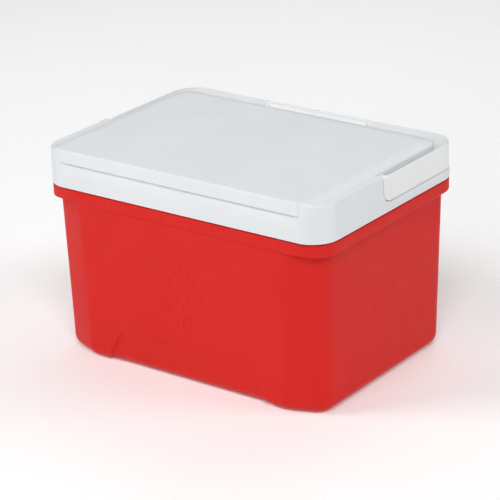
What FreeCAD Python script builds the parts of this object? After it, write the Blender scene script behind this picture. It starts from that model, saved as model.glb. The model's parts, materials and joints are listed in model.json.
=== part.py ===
"""Personal picnic cooler: insulated tub, rear-hinged lid and a swing-up bail handle that locks the lid.

Millimetres. Origin on the ground at the middle of the tub's flat base, +X to the right along the long side,
+Y towards the hinge, +Z up. Each piece is written to parts/NAME.step.
"""

import FreeCAD, Part
import math
import os

V = FreeCAD.Vector
X_AXIS, Y_AXIS = V(1, 0, 0), V(0, 1, 0)
ORIGIN = V(0, 0, 0)

# ---- driving dimensions ------------------------------------------------------------------------------
LID_HALF_X = 170.0
LID_HALF_Y = 122.8
LID_CORNER = 28.0
PART_Z = 181.0
PART_GAP = 0.6
RIM_TOP = PART_Z - PART_GAP / 2
SKIRT_BOTTOM = PART_Z + PART_GAP / 2

# tub: each upright corner is a gentle bend, a flat facet and a tighter turn
TUB_TOP_X, TUB_TOP_Y = 163.2, 121.5
TUB_DRAFT = 4.0
CORNER_RUN = 43.6
BEND_R, TURN_R = 24.0, 18.5
FACET_ANGLE = math.radians(20.5)
TUB_BASE_ROUND = 12.0
SHELL_WALL = 3.0
FLANGE_HEIGHT = 14.1
FLANGE_INSET = 0.4
FLANGE_ROUND = 3.0

# stepped panel low on the front wall
STEP_HALF_X = 101.5
STEP_TOP_Z = 38.7
STEP_SLANT = 21.6
STEP_CORNER = 8.5
STEP_DEPTH_LOW, STEP_DEPTH_HIGH = 4.0, 1.0

# low-relief snowflake badge on the front wall
BADGE_Z = 93.0
BADGE_ARM, BADGE_FORK, BADGE_TWIG = 34.0, 18.7, 12.2
BADGE_BAR = 4.5
BADGE_HEIGHT = 0.6

# inner liner
LINER_WALL = 2.0
LINER_FLOOR_Z = 20.0
LINER_TOP_X, LINER_TOP_Y, LINER_TOP_CORNER = 143.0, 101.5, 24.0
LINER_DRAFT = 6.0
LINER_BASE_CORNER = 20.0
LINER_BASE_ROUND = 9.0
RIM_THICK = 2.5
FIT = 0.2
OVERLAP = 0.5
MEET = 0.01
FAR = 200.0

# lid
LID_WALL = 2.5
LEDGE_Z = PART_Z + 9.6
SHOULDER_Z = PART_Z + 38.3
PLATEAU_Z = PART_Z + 40.5
SHOULDER_ROUND = 3.0
PLATEAU_HALF_X = 149.0
PLATEAU_BACK_Y = 90.0
SLOPE_HALF_X = 160.0
CORE_HALF_X = 161.0
CORE_BACK_Y = 101.0
CORE_BACK_CORNER = 18.0
POCKET_FRONT_Y = -16.9
POCKET_CORNER_GAP = 0.9
LIP_HALF_X = 144.0
LIP_Z = PART_Z + 27.0
LIP_PROUD = 0.5
LIP_ROUND = 2.0
SCOOP_Z = PART_Z + 14.0
SCOOP_DEPTH = 2.4
FRONT_WALL = 4.2
PLUG_HALF_X, PLUG_HALF_Y, PLUG_CORNER = 139.5, 98.0, 20.0
PLUG_DEPTH, PLUG_ROUND = 9.5, 3.0
DECK_HALF_X, DECK_HALF_Y, DECK_CORNER = 149.0, 119.0, 16.0
DECK_THICK = 2.2
TRAY_WALL = 1.2
TRAY_TOP = SHOULDER_Z - LID_WALL - FIT
DECK_Z = SKIRT_BOTTOM + 0.3

# handle: a flat band bent into a U
BAND_THICK = 3.2
BAND_HALF_X = 169.2
BAND_BACK_Y = 122.1
BAND_CORNER = 27.3
BAND_LOW = PART_Z + 10.3
BAND_TOP = PART_Z + 36.8
ARM_FRONT_Y = -16.0
ARM_LOW_ROUND = 13.0
ARM_TOP_ROUND = 5.0
BAND_RIB_DEPTH, BAND_RIB_THICK = 2.6, 2.4
RIB_FRONT_Y = 14.0
GRIP_HALF_LENGTH = 63.0
GRIP_DEPTH = 5.0
GRIP_LOW, GRIP_TOP = PART_Z + 13.6, PART_Z + 34.0
NOTCH_WIDTH, NOTCH_DEPTH, NOTCH_CUT = 6.0, 2.0, 1.2

# handle pivot and lid lock
PIVOT_Y, PIVOT_Z = -8.0, PART_Z + 29.5
PIN_R = 3.0
RUNNING_FIT = 0.05
BUSH_R, BUSH_STOP_R, BUSH_FLANGE_R = 5.0, 5.6, 6.5
BUSH_END_GAP = 0.4
PIN_KEY = 4.8
PIN_KEY_DEPTH = 2.0
HOOK_IN_X, HOOK_OUT_X = 151.0, 156.0
HOOK_HUB_R = 5.8
HOOK_HALF_WIDTH = 4.0
HOOK_TOE = 5.0
HOOK_TOE_TOP = RIM_TOP - 2.9
HOOK_TOE_THICK, HOOK_ROUND = 4.0, 1.5
HOOK_SCREW_R, HOOK_SCREW_LENGTH = 1.25, 5.5
HOOK_SCREW_HEAD_R, HOOK_SCREW_HEAD_H = 4.0, 1.4
PIN_FLAT = 0.8
SLOT_HALF, SLOT_DEPTH = 0.4, 0.6
KEEPER_IN_X, KEEPER_OUT_X = 148.3, 159.7
KEEPER_FRONT_Y, KEEPER_BACK_Y = -33.6, 4.6
KEEPER_FLOOR_Z = PART_Z - 10.4
KEEPER_WALL = 1.2
KEEPER_BAR_Y = -3.1
KEEPER_BAR_THICK = 2.5

# rear hinges
HINGE_X = 95.0
HINGE_Y, HINGE_Z = 127.0, PART_Z - 2.5
HINGE_PIN_R = 2.0
HINGE_PIN_FIT = 0.08
KNUCKLE_R = 4.2
KNUCKLE_MIDDLE = 16.0
KNUCKLE_SIDE = 8.0
KNUCKLE_GAP = 0.4
LEAF_THICK = 2.6
LEAF_TURN_GAP = 0.5
BASE_LEAF_LOW, BASE_LEAF_HIGH = RIM_TOP - 10.8, RIM_TOP - 1.6
LID_LEAF_LOW, LID_LEAF_HIGH = SKIRT_BOTTOM + 1.8, SKIRT_BOTTOM + 8.6
BASE_SCREW_X, LID_SCREW_X = 21.0, 11.6
LEAF_END = 4.2
PIN_HALF_LENGTH = KNUCKLE_MIDDLE / 2 + KNUCKLE_GAP + KNUCKLE_SIDE + 0.9
PIN_HEAD_R, PIN_HEAD_HALF = 2.5, 0.4
HEAD_ROOM = 1.6
HINGE_SCREW_R, HINGE_SCREW_HEAD_R, HINGE_SCREW_HEAD_H = 1.5, 2.8, 1.5
HINGE_SCREW_LENGTH = 7.5


# ---- helpers -----------------------------------------------------------------------------------------
def arc_points(cx, cy, radius, start, end):
    """Start, middle and end of an arc, as (x, y); angle 0 points along +Y and a right angle along +X."""
    angles = (start, (start + end) / 2, end)
    return [(cx + radius * math.sin(angle), cy + radius * math.cos(angle)) for angle in angles]


def quadrant(arcs, sx, sy, z):
    """Arcs given for the +X +Y corner, moved to another corner and put in counter-clockwise order."""
    placed = [[V(sx * x, sy * y, z) for x, y in arc] for arc in arcs]
    return placed if sx * sy < 0 else [arc[::-1] for arc in placed[::-1]]


def ring(arcs):
    """A closed wire of arcs with straight lines between them."""
    edges = []
    for i, (start, middle, end) in enumerate(arcs):
        edges.append(Part.Arc(start, middle, end).toShape())
        edges.append(Part.makeLine(end, arcs[(i + 1) % len(arcs)][0]))
    return Part.Wire(edges)


def plan(half_x, y_front, y_back, r_front, r_back, z):
    """A rounded rectangle in a level plane, as a closed wire."""
    right_angle = math.pi / 2
    front = [arc_points(half_x - r_front, -y_front - r_front, r_front, 0, right_angle)]
    back = [arc_points(half_x - r_back, y_back - r_back, r_back, 0, right_angle)]
    arcs = []
    for corner, sx, sy in ((front, 1, -1), (back, 1, 1), (back, -1, 1), (front, -1, -1)):
        arcs += quadrant(corner, sx, sy, z)
    return ring(arcs)


def even_plan(half_x, half_y, radius, z):
    return plan(half_x, -half_y, half_y, radius, radius, z)


def lid_outline(inset, z):
    """The lid's outline in plan, which the tub's rim follows too."""
    return even_plan(LID_HALF_X - inset, LID_HALF_Y - inset, LID_CORNER - inset, z)


def prism(wire, height):
    return Part.Face(wire).extrude(V(0, 0, height))


def taper(low, high):
    """A solid between two level outlines with straight sides."""
    return Part.makeLoft([low, high], True, True)


def block(x0, x1, y0, y1, z0, z1):
    return Part.makeBox(x1 - x0, y1 - y0, z1 - z0, V(x0, y0, z0))


def rod(x0, x1, y, z, r):
    return Part.makeCylinder(r, x1 - x0, V(x0, y, z), X_AXIS)


def side_profile(points, x0, x1):
    """A polygon given as (y, z) pairs, run along X from x0 to x1."""
    corners = [V(x0, y, z) for y, z in points]
    wire = Part.makePolygon(corners + corners[:1])
    return Part.Face(wire).extrude(V(x1 - x0, 0, 0))


def round_edges(solid, radius, wanted):
    """Rounds the edges for which wanted(edge) is true."""
    return solid.makeFillet(radius, [e for e in solid.Edges if wanted(e)])


def level_at(z):
    return lambda e: abs(e.BoundBox.ZMin - z) < 1e-4 and abs(e.BoundBox.ZMax - z) < 1e-4


def mirrored(solid):
    """The left-hand twin of a right-hand piece."""
    return solid.mirror(ORIGIN, X_AXIS)


def save(name, shape):
    shape.exportStep(os.path.join("parts", name + ".step"))
    volume = round(shape.Volume / 1000.0, 2)
    print(name, len(shape.Solids), "solid(s), valid", shape.isValid(), volume, "cm3")


# ---- tub ---------------------------------------------------------------------------------------------
def tub_half(z, top):
    """Half the tub's width at a height: the walls lean out by TUB_DRAFT from base to rim."""
    return top - TUB_DRAFT * (1 - z / RIM_TOP)


def tub_outline(z, inset):
    """The tub's outline at a height, moved in by inset."""
    bend_x, bend_y = tub_half(z, TUB_TOP_X) - CORNER_RUN, tub_half(z, TUB_TOP_Y) - BEND_R
    turn_x = tub_half(z, TUB_TOP_X) - TURN_R
    away = BEND_R - TURN_R - (turn_x - bend_x) * math.sin(FACET_ANGLE)
    turn_y = bend_y + away / math.cos(FACET_ANGLE)
    bend = arc_points(bend_x, bend_y, BEND_R - inset, 0, FACET_ANGLE)
    turn = arc_points(turn_x, turn_y, TURN_R - inset, FACET_ANGLE, math.pi / 2)
    arcs = []
    for sx, sy in ((1, -1), (1, 1), (-1, 1), (-1, -1)):
        arcs += quadrant([bend, turn], sx, sy, z)
    return ring(arcs)


def step_region(margin):
    """The part of the front wall that the stepped panel covers: a trapezium with rounded upper corners."""
    half = STEP_HALF_X + margin
    top = STEP_TOP_Z + margin
    below = -5
    points = [(half, below), (half - STEP_SLANT, top), (STEP_SLANT - half, top), (-half, below)]
    corners = [V(x, -FAR, z) for x, z in points]
    solid = Part.Face(Part.makePolygon(corners + corners[:1])).extrude(V(0, FAR / 2, 0))
    return round_edges(
        solid, STEP_CORNER, lambda e: e.BoundBox.YLength > MEET and e.BoundBox.ZMin > top - MEET
        and e.BoundBox.XLength < MEET
    )


def step_cutter(inset, margin):
    """What the stepped panel takes off the front wall: the region in front of a leaning face."""
    low = -(tub_half(0, TUB_TOP_Y) - STEP_DEPTH_LOW - inset)
    high = -(tub_half(STEP_TOP_Z, TUB_TOP_Y) - STEP_DEPTH_HIGH - inset)
    slope = (high - low) / STEP_TOP_Z
    top = STEP_TOP_Z + 20
    points = [(low, inset), (0, inset), (0, top), (low + slope * top, top)]
    behind = side_profile(points, -FAR, FAR)
    radius = TUB_BASE_ROUND - inset
    behind = round_edges(behind, radius, lambda e: level_at(inset)(e) and e.BoundBox.YMax < low + MEET)
    return step_region(margin).cut(behind)


def badge():
    """A six-armed snowflake standing BADGE_HEIGHT proud of the front wall."""
    wall_y = -tub_half(BADGE_Z, TUB_TOP_Y)
    lean = math.degrees(math.atan(TUB_DRAFT / RIM_TOP))
    bars = []
    half, deep = BADGE_BAR / 2, SHELL_WALL / 2
    for turn in range(6):
        pieces = [block(-half, half, -deep, deep, BADGE_BAR, BADGE_ARM)]
        for side in (-1, 1):
            twig = block(-half, half, -deep, deep, 0, BADGE_TWIG)
            twig.rotate(ORIGIN, Y_AXIS, side * 60)
            twig.translate(V(0, 0, BADGE_FORK))
            pieces.append(twig)
        spoke = pieces[0].fuse(pieces[1:])
        spoke.rotate(ORIGIN, Y_AXIS, turn * 60)
        bars.append(spoke)
    flake = bars[0].fuse(bars[1:]).removeSplitter()
    flake.rotate(ORIGIN, X_AXIS, lean)
    flake.translate(V(0, wall_y + deep - BADGE_HEIGHT, BADGE_Z))
    return flake


def shell_cavity():
    """The space inside the outer shell, including the step out into the flange."""
    low, high = SHELL_WALL, RIM_TOP - FLANGE_HEIGHT + SHELL_WALL
    body = taper(tub_outline(low, SHELL_WALL), tub_outline(high, SHELL_WALL))
    body = round_edges(body, TUB_BASE_ROUND - SHELL_WALL, level_at(low))
    body = body.cut(step_cutter(SHELL_WALL, SHELL_WALL))
    inset = FLANGE_INSET + SHELL_WALL
    return body.fuse(prism(lid_outline(inset, high), FLANGE_HEIGHT))


def outer_shell():
    flange_low = RIM_TOP - FLANGE_HEIGHT
    tub = taper(tub_outline(0, 0), tub_outline(flange_low + 1, 0))
    tub = round_edges(tub, TUB_BASE_ROUND, level_at(0))
    tub = tub.cut(step_cutter(0, 0))
    flange = prism(lid_outline(FLANGE_INSET, flange_low), FLANGE_HEIGHT)
    flange = round_edges(flange, FLANGE_ROUND, level_at(flange_low))
    shell = tub.fuse(flange).fuse(badge())
    shell = shell.cut(shell_cavity())
    return shell.cut(hinge_screw_holes(low=True)).removeSplitter()


def liner_solid(grow):
    """The liner's tub as a filled solid, grown sideways and down by grow."""
    low = LINER_FLOOR_Z - grow
    base_x, base_y = LINER_TOP_X - LINER_DRAFT, LINER_TOP_Y - LINER_DRAFT
    bottom = even_plan(base_x + grow, base_y + grow, LINER_BASE_CORNER + grow, low)
    top = even_plan(LINER_TOP_X + grow, LINER_TOP_Y + grow, LINER_TOP_CORNER + grow, RIM_TOP)
    return round_edges(taper(bottom, top), LINER_BASE_ROUND + grow, level_at(low))


def rim_plate():
    inset = FLANGE_INSET + SHELL_WALL + FIT
    z = RIM_TOP - RIM_THICK
    return prism(lid_outline(inset, z), RIM_THICK)


def keeper_block():
    return block(KEEPER_IN_X, KEEPER_OUT_X, KEEPER_FRONT_Y, KEEPER_BACK_Y, KEEPER_FLOOR_Z, RIM_TOP)


def inner_liner():
    liner = liner_solid(LINER_WALL).fuse(rim_plate()).cut(liner_solid(0))
    return liner.cut([keeper_block(), mirrored(keeper_block())]).removeSplitter()


def body_insulation():
    foam = shell_cavity().cut(block(-FAR, FAR, -FAR, FAR, RIM_TOP - RIM_THICK, 2 * FAR))
    foam = foam.cut(liner_solid(LINER_WALL))
    foam = foam.cut([keeper_block(), mirrored(keeper_block())])
    return foam.cut(hinge_screw_holes(low=True))


def lock_keeper():
    """A cup let into the rim, with a bar across its back end that the hook's toe swings under."""
    t = KEEPER_WALL
    x0, x1 = KEEPER_IN_X + t, KEEPER_OUT_X - t
    hollow = block(x0, x1, KEEPER_FRONT_Y + t, KEEPER_BACK_Y - t, KEEPER_FLOOR_Z + t, RIM_TOP)
    bar_low, bar_back = RIM_TOP - KEEPER_BAR_THICK, KEEPER_BACK_Y - t / 2
    bar = block(x0 - t / 2, x1 + t / 2, KEEPER_BAR_Y, bar_back, bar_low, RIM_TOP)
    return keeper_block().cut(hollow).fuse(bar).removeSplitter()


# ---- lid ---------------------------------------------------------------------------------------------
def core_outline(inset, z, height):
    """The raised part of the lid: full width in front of the handle's pocket, narrower behind it."""
    front = prism(lid_outline(inset, z), height)
    front = front.common(block(-FAR, FAR, -FAR, POCKET_FRONT_Y - inset, z, z + height))
    corner = CORE_BACK_CORNER - inset
    back = prism(plan(CORE_HALF_X - inset, -FAR, CORE_BACK_Y - inset, corner, corner, z), height)
    back = back.common(block(-FAR, FAR, POCKET_FRONT_Y - LID_CORNER, FAR, z, z + height))
    return front.fuse(back).removeSplitter()


def plateau():
    """The raised top with sloping sides; its front end is cut square by the lid's face."""
    rise = PLATEAU_Z - SHOULDER_Z
    run = SLOPE_HALF_X - PLATEAU_HALF_X
    front = -LID_HALF_Y
    corner = CORE_BACK_CORNER - 1
    low = plan(SLOPE_HALF_X, front, PLATEAU_BACK_Y + run, 0.5, corner, SHOULDER_Z)
    high = plan(PLATEAU_HALF_X, front, PLATEAU_BACK_Y, 0.5, corner - 7, PLATEAU_Z)
    inset = SHOULDER_ROUND * 0.3
    outline = plan(LID_HALF_X, front + inset, FAR, LID_CORNER, 5, SHOULDER_Z - 1)
    return taper(low, high).common(prism(outline, rise + 2))


def finger_scoop():
    """The shallow scoop under the front lip: deepest at the lip, running out below it."""
    y = -LID_HALF_Y
    middle = (y + SCOOP_DEPTH * 0.4, (SCOOP_Z + LIP_Z) / 2)
    points = [(y - 1, SCOOP_Z), (y, SCOOP_Z), middle, (y + SCOOP_DEPTH, LIP_Z), (y - 1, LIP_Z)]
    return side_profile(points, -LIP_HALF_X, LIP_HALF_X)


def finger_lip():
    """The lip stands a little proud of the front face, with a rounded upper edge."""
    top = PLATEAU_Z - LIP_ROUND * 0.3
    front = -LID_HALF_Y - LIP_PROUD
    lip = block(-LIP_HALF_X, LIP_HALF_X, front, -LID_HALF_Y + FRONT_WALL, LIP_Z, top)
    return round_edges(lip, LIP_ROUND, lambda e: level_at(top)(e) and e.BoundBox.YMax < front + MEET)


def pocket_corners():
    """Fill the lower front corners of the pocket, so that its floor follows the arms' rounded ends."""
    centre_y, centre_z = ARM_FRONT_Y + ARM_LOW_ROUND, BAND_LOW + ARM_LOW_ROUND
    x0, x1 = CORE_HALF_X - 1, LID_HALF_X
    corner = block(x0, x1, POCKET_FRONT_Y - 1, centre_y, LEDGE_Z - 1, centre_z)
    corner = corner.cut(rod(x0 - 1, x1 + 1, centre_y, centre_z, ARM_LOW_ROUND + POCKET_CORNER_GAP))
    return [corner, mirrored(corner)]


def is_outer_shoulder(edge):
    """The shoulder's edge round the front and sides, but not along the pocket."""
    box = edge.BoundBox
    along_pocket = box.YLength < MEET and box.YMax > POCKET_FRONT_Y - MEET
    in_front = box.YMax < POCKET_FRONT_Y + MEET
    return level_at(SHOULDER_Z)(edge) and in_front and not along_pocket


def lid_solid():
    """The lid's outside, with no hollow."""
    band = prism(even_plan(LID_HALF_X, LID_HALF_Y, LID_CORNER, SKIRT_BOTTOM), LEDGE_Z - SKIRT_BOTTOM)
    core = core_outline(0, LEDGE_Z - OVERLAP, SHOULDER_Z - LEDGE_Z + OVERLAP)
    core = round_edges(core, SHOULDER_ROUND, is_outer_shoulder)
    core = core.fuse([plateau()] + pocket_corners())
    return band.fuse(core.cut(finger_scoop())).fuse(finger_lip())


def lid_cavity():
    """The space inside the lid; its front wall is thicker behind the finger scoop."""
    low = prism(lid_outline(LID_WALL, SKIRT_BOTTOM - 1), LEDGE_Z - LID_WALL - SKIRT_BOTTOM + 1)
    high = core_outline(LID_WALL, LEDGE_Z - LID_WALL - OVERLAP, SHOULDER_Z - LEDGE_Z + OVERLAP)
    front = block(-FAR, FAR, -FAR, -LID_HALF_Y + FRONT_WALL, SCOOP_Z - FRONT_WALL, FAR * 2)
    return low.fuse(high).cut(front)


def lid_shell():
    shell = lid_solid().cut(lid_cavity())
    hole = rod(-FAR, FAR, PIVOT_Y, PIVOT_Z, BUSH_R)
    return shell.cut([hole, hinge_screw_holes(low=False)]).removeSplitter()


def plug_outline(inset, z):
    return even_plan(PLUG_HALF_X - inset, PLUG_HALF_Y - inset, PLUG_CORNER - inset, z)


def tray_outline(inset, z):
    """The foam's tray between the two hooks, from the lid's front wall to its back wall."""
    y_front, y_back = -LID_HALF_Y + FRONT_WALL + FIT, CORE_BACK_Y - LID_WALL - FIT
    corner = DECK_CORNER - inset
    return plan(DECK_HALF_X - inset, y_front + inset, y_back - inset, corner, corner, z)


def lid_liner():
    """The lid's underside: a deck over the rim, a shallow pan below it and a tray for foam above."""
    deck_top = DECK_Z + DECK_THICK
    plug_low = DECK_Z - PLUG_DEPTH
    deck = prism(even_plan(DECK_HALF_X, DECK_HALF_Y, DECK_CORNER, DECK_Z), DECK_THICK)
    plug = prism(plug_outline(0, plug_low), PLUG_DEPTH + OVERLAP)
    plug = round_edges(plug, PLUG_ROUND, level_at(plug_low))
    pan = prism(plug_outline(LINER_WALL, plug_low + LINER_WALL), PLUG_DEPTH + DECK_THICK)
    tray = prism(tray_outline(0, deck_top - OVERLAP), TRAY_TOP - deck_top + OVERLAP)
    tray = tray.cut(prism(tray_outline(TRAY_WALL, deck_top), FAR))
    return deck.fuse([plug, tray]).cut(pan).removeSplitter()


def lid_insulation():
    """Foam that fills the pan and the tray above the deck."""
    deck_top = DECK_Z + DECK_THICK
    pan_z = DECK_Z - PLUG_DEPTH + LINER_WALL
    lower = prism(plug_outline(LINER_WALL + FIT, pan_z), deck_top - pan_z + OVERLAP)
    upper = prism(tray_outline(TRAY_WALL + FIT, deck_top), TRAY_TOP - deck_top)
    return lower.fuse(upper).removeSplitter()


# ---- handle ------------------------------------------------------------------------------------------
def u_band(outer_inset, thickness, z0, z1, y_front):
    """A U in plan: two arms along the lid's sides joined by a crossbar behind it."""
    def filled(inset):
        corner = BAND_CORNER - inset
        return prism(plan(BAND_HALF_X - inset, -FAR, BAND_BACK_Y - inset, corner, corner, z0), z1 - z0)

    ring = filled(outer_inset).cut(filled(outer_inset + thickness))
    return ring.common(block(-FAR, FAR, y_front, FAR, z0, z1))


def arm_side_view():
    """The handle seen from the side: square at the back, rounded at the pivot ends."""
    solid = block(-FAR, FAR, ARM_FRONT_Y, FAR, BAND_LOW, BAND_TOP)

    def front_edge(z):
        return lambda e: level_at(z)(e) and e.BoundBox.YMax < ARM_FRONT_Y + MEET

    solid = round_edges(solid, ARM_LOW_ROUND, front_edge(BAND_LOW))
    return round_edges(solid, ARM_TOP_ROUND, front_edge(BAND_TOP))


def pin_key():
    """The square end of the pivot pin, sunk into the arm's inner face."""
    key = block(0, PIN_KEY_DEPTH, -PIN_KEY / 2, PIN_KEY / 2, -PIN_KEY / 2, PIN_KEY / 2)
    key.translate(V(BAND_HALF_X - BAND_THICK, PIVOT_Y, PIVOT_Z))
    return key


def grip_notches():
    """Three small nicks in the crossbar's upper inner edge."""
    y0, y1 = BAND_BACK_Y - BAND_THICK - 1, BAND_BACK_Y - BAND_THICK + NOTCH_CUT
    z0, z1 = BAND_TOP - NOTCH_DEPTH, BAND_TOP + 1
    places = (-GRIP_HALF_LENGTH, 0, GRIP_HALF_LENGTH)
    return [block(x - NOTCH_WIDTH / 2, x + NOTCH_WIDTH / 2, y0, y1, z0, z1) for x in places]


def handle_bail():
    band = u_band(0, BAND_THICK, BAND_LOW, BAND_TOP, ARM_FRONT_Y).common(arm_side_view())
    inset, depth = BAND_THICK - OVERLAP, BAND_RIB_DEPTH + OVERLAP
    rib = u_band(inset, depth, BAND_LOW, BAND_LOW + BAND_RIB_THICK, RIB_FRONT_Y)
    bail = band.fuse(rib)
    return bail.cut([pin_key(), mirrored(pin_key())] + grip_notches()).removeSplitter()


def handle_grip():
    """A half-round pad along the crossbar's inner face."""
    inner_y = BAND_BACK_Y - BAND_THICK
    middle_z = (GRIP_LOW + GRIP_TOP) / 2
    start, end = V(-GRIP_HALF_LENGTH, inner_y, GRIP_LOW), V(-GRIP_HALF_LENGTH, inner_y, GRIP_TOP)
    crown = V(-GRIP_HALF_LENGTH, inner_y - GRIP_DEPTH, middle_z)
    section = Part.Wire([Part.Arc(start, crown, end).toShape(), Part.makeLine(end, start)])
    return Part.Face(section).extrude(V(2 * GRIP_HALF_LENGTH, 0, 0))


# ---- pivots and lock ---------------------------------------------------------------------------------
def pivot_bush():
    """A flanged bush in the lid's side wall, which also spaces the arm off the wall."""
    x0, x1 = HOOK_OUT_X + BUSH_END_GAP, BAND_HALF_X - BAND_THICK - BUSH_END_GAP
    body = rod(x0, x1, PIVOT_Y, PIVOT_Z, BUSH_R)
    flange = rod(CORE_HALF_X, x1, PIVOT_Y, PIVOT_Z, BUSH_FLANGE_R)
    stop = rod(x0, CORE_HALF_X - LID_WALL, PIVOT_Y, PIVOT_Z, BUSH_STOP_R)
    bore = rod(0, FAR, PIVOT_Y, PIVOT_Z, PIN_R + RUNNING_FIT)
    return body.fuse([flange, stop]).cut(bore).removeSplitter()


def pin_flat(x1):
    """What the flat takes off the pin's upper side, up to x1."""
    top = PIVOT_Z + PIN_R
    return block(HOOK_IN_X - 1, x1, PIVOT_Y - PIN_R, PIVOT_Y + PIN_R, top - PIN_FLAT, top)


def pivot_pin():
    """Square at the handle end, with a flat at the hook end, so that handle and hook turn together."""
    shaft = rod(HOOK_IN_X, BAND_HALF_X - BAND_THICK, PIVOT_Y, PIVOT_Z, PIN_R)
    hole_end = HOOK_IN_X + HOOK_SCREW_LENGTH + FIT
    screw_hole = rod(HOOK_IN_X - 1, hole_end, PIVOT_Y, PIVOT_Z, HOOK_SCREW_R)
    return shaft.fuse(pin_key()).cut([pin_flat(HOOK_OUT_X), screw_hole]).removeSplitter()


def lock_hook():
    """Hangs down from the pin when the handle is upright; folded, it lies forward inside the lid."""
    low = HOOK_TOE_TOP - HOOK_TOE_THICK
    y0, y1 = PIVOT_Y - HOOK_HALF_WIDTH, PIVOT_Y + HOOK_HALF_WIDTH
    hub = rod(HOOK_IN_X, HOOK_OUT_X, PIVOT_Y, PIVOT_Z, HOOK_HUB_R)
    shank = block(HOOK_IN_X, HOOK_OUT_X, y0, y1, low, PIVOT_Z)
    toe = block(HOOK_IN_X, HOOK_OUT_X, y0, y1 + HOOK_TOE, low, HOOK_TOE_TOP)
    hook = hub.fuse([shank, toe]).removeSplitter()
    hook = round_edges(hook, HOOK_ROUND, lambda e: level_at(low)(e) and e.BoundBox.YLength < MEET)
    bore = rod(HOOK_IN_X - 1, HOOK_OUT_X + 1, PIVOT_Y, PIVOT_Z, PIN_R)
    hook = hook.cut(bore.cut(pin_flat(HOOK_OUT_X + 1)))
    hook.rotate(V(0, PIVOT_Y, PIVOT_Z), X_AXIS, -90)
    return hook


def turned_pin():
    """The pin at rest: its flat faces the way the hook's does."""
    pin = pivot_pin()
    pin.rotate(V(0, PIVOT_Y, PIVOT_Z), X_AXIS, -90)
    return pin


def hook_screw():
    face_x = HOOK_IN_X - HOOK_SCREW_HEAD_H
    head = rod(face_x, HOOK_IN_X, PIVOT_Y, PIVOT_Z, HOOK_SCREW_HEAD_R)
    slot = block(face_x - 1, face_x + SLOT_DEPTH, -3, 3, -SLOT_HALF, SLOT_HALF)
    slot.translate(V(0, PIVOT_Y, PIVOT_Z))
    shank = rod(HOOK_IN_X - FIT, HOOK_IN_X + HOOK_SCREW_LENGTH, PIVOT_Y, PIVOT_Z, HOOK_SCREW_R)
    return head.cut(slot).fuse(shank).removeSplitter()


# ---- rear hinges -------------------------------------------------------------------------------------
def leaf_screw_places(low):
    """Screw centres on one hinge leaf, as (x, z)."""
    reach = BASE_SCREW_X if low else LID_SCREW_X
    z = (BASE_LEAF_LOW + BASE_LEAF_HIGH) / 2 if low else (LID_LEAF_LOW + LID_LEAF_HIGH) / 2
    return [(HINGE_X + side * reach, z) for side in (-1, 1)]


def hinge_screw_holes(low):
    holes = []
    for x, z in leaf_screw_places(low):
        for sign in (-1, 1):
            start = V(sign * x, HINGE_Y + 5, z)
            holes.append(Part.makeCylinder(HINGE_SCREW_R, HINGE_SCREW_LENGTH + 8, start, -Y_AXIS))
    return Part.makeCompound(holes)


def hinge_screws(low):
    """The four screws of one level, two per hinge, as one group."""
    height = HINGE_SCREW_HEAD_H
    head = Part.makeCylinder(HINGE_SCREW_HEAD_R, height, ORIGIN, Y_AXIS)
    head = round_edges(head, 0.6, lambda e: e.BoundBox.YMin > height - MEET)
    slot = block(-2, 2, height - SLOT_DEPTH, height + 1, -SLOT_HALF, SLOT_HALF)
    shank = Part.makeCylinder(HINGE_SCREW_R, HINGE_SCREW_LENGTH, V(0, FIT, 0), -Y_AXIS)
    screw = head.cut(slot).fuse(shank).removeSplitter()
    screws = []
    for x, z in leaf_screw_places(low):
        for sign in (-1, 1):
            place = V(sign * x, hinge_face(low) + LEAF_THICK, z)
            screws.append(screw.translated(place))
    return Part.makeCompound(screws)


def hinge_face(low):
    """Where the leaf meets the tub's flange or the lid's skirt."""
    return LID_HALF_Y - FLANGE_INSET if low else LID_HALF_Y


def knuckle(x0, x1, low):
    """A barrel on the pin with a web back to its leaf."""
    barrel = rod(x0, x1, HINGE_Y, HINGE_Z, KNUCKLE_R)
    face = hinge_face(low)
    centre = (HINGE_Y, HINGE_Z)
    if low:
        points = [(face, HINGE_Z - 5.5), (HINGE_Y, HINGE_Z - KNUCKLE_R), centre, (face, HINGE_Z + 0.6)]
    else:
        upper = [(face + LEAF_THICK, LID_LEAF_HIGH), (face, LID_LEAF_HIGH)]
        points = [(face, LID_LEAF_LOW), centre, (HINGE_Y + KNUCKLE_R, HINGE_Z)] + upper
    return barrel.fuse(side_profile(points, x0, x1))


def leaf_plate(reach, face, z0, z1):
    """A flat leaf with rounded corners."""
    leaf = block(HINGE_X - reach, HINGE_X + reach, face, face + LEAF_THICK, z0, z1)
    return round_edges(leaf, 2.0, lambda e: e.BoundBox.YLength > LEAF_THICK - 0.1)


def pin_bore():
    return rod(0, FAR, HINGE_Y, HINGE_Z, HINGE_PIN_R + HINGE_PIN_FIT)


def hinge_base():
    """The leaf on the tub, with two knuckles and a relief between them for the lid's knuckle."""
    inner = KNUCKLE_MIDDLE / 2 + KNUCKLE_GAP
    outer = inner + KNUCKLE_SIDE
    leaf = leaf_plate(BASE_SCREW_X + LEAF_END, hinge_face(True), BASE_LEAF_LOW, BASE_LEAF_HIGH)
    relief = rod(HINGE_X - inner, HINGE_X + inner, HINGE_Y, HINGE_Z, KNUCKLE_R + LEAF_TURN_GAP)
    knuckles = [knuckle(HINGE_X + a, HINGE_X + b, True) for a, b in ((-outer, -inner), (inner, outer))]
    base = leaf.cut(relief).fuse(knuckles)
    heads = [
        rod(HINGE_X + a, HINGE_X + b, HINGE_Y, HINGE_Z, PIN_HEAD_R + FIT)
        for a, b in ((-outer - HEAD_ROOM, -outer), (outer, outer + HEAD_ROOM))
    ]
    return base.cut([pin_bore(), hinge_screw_holes(low=True)] + heads).removeSplitter()


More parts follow.
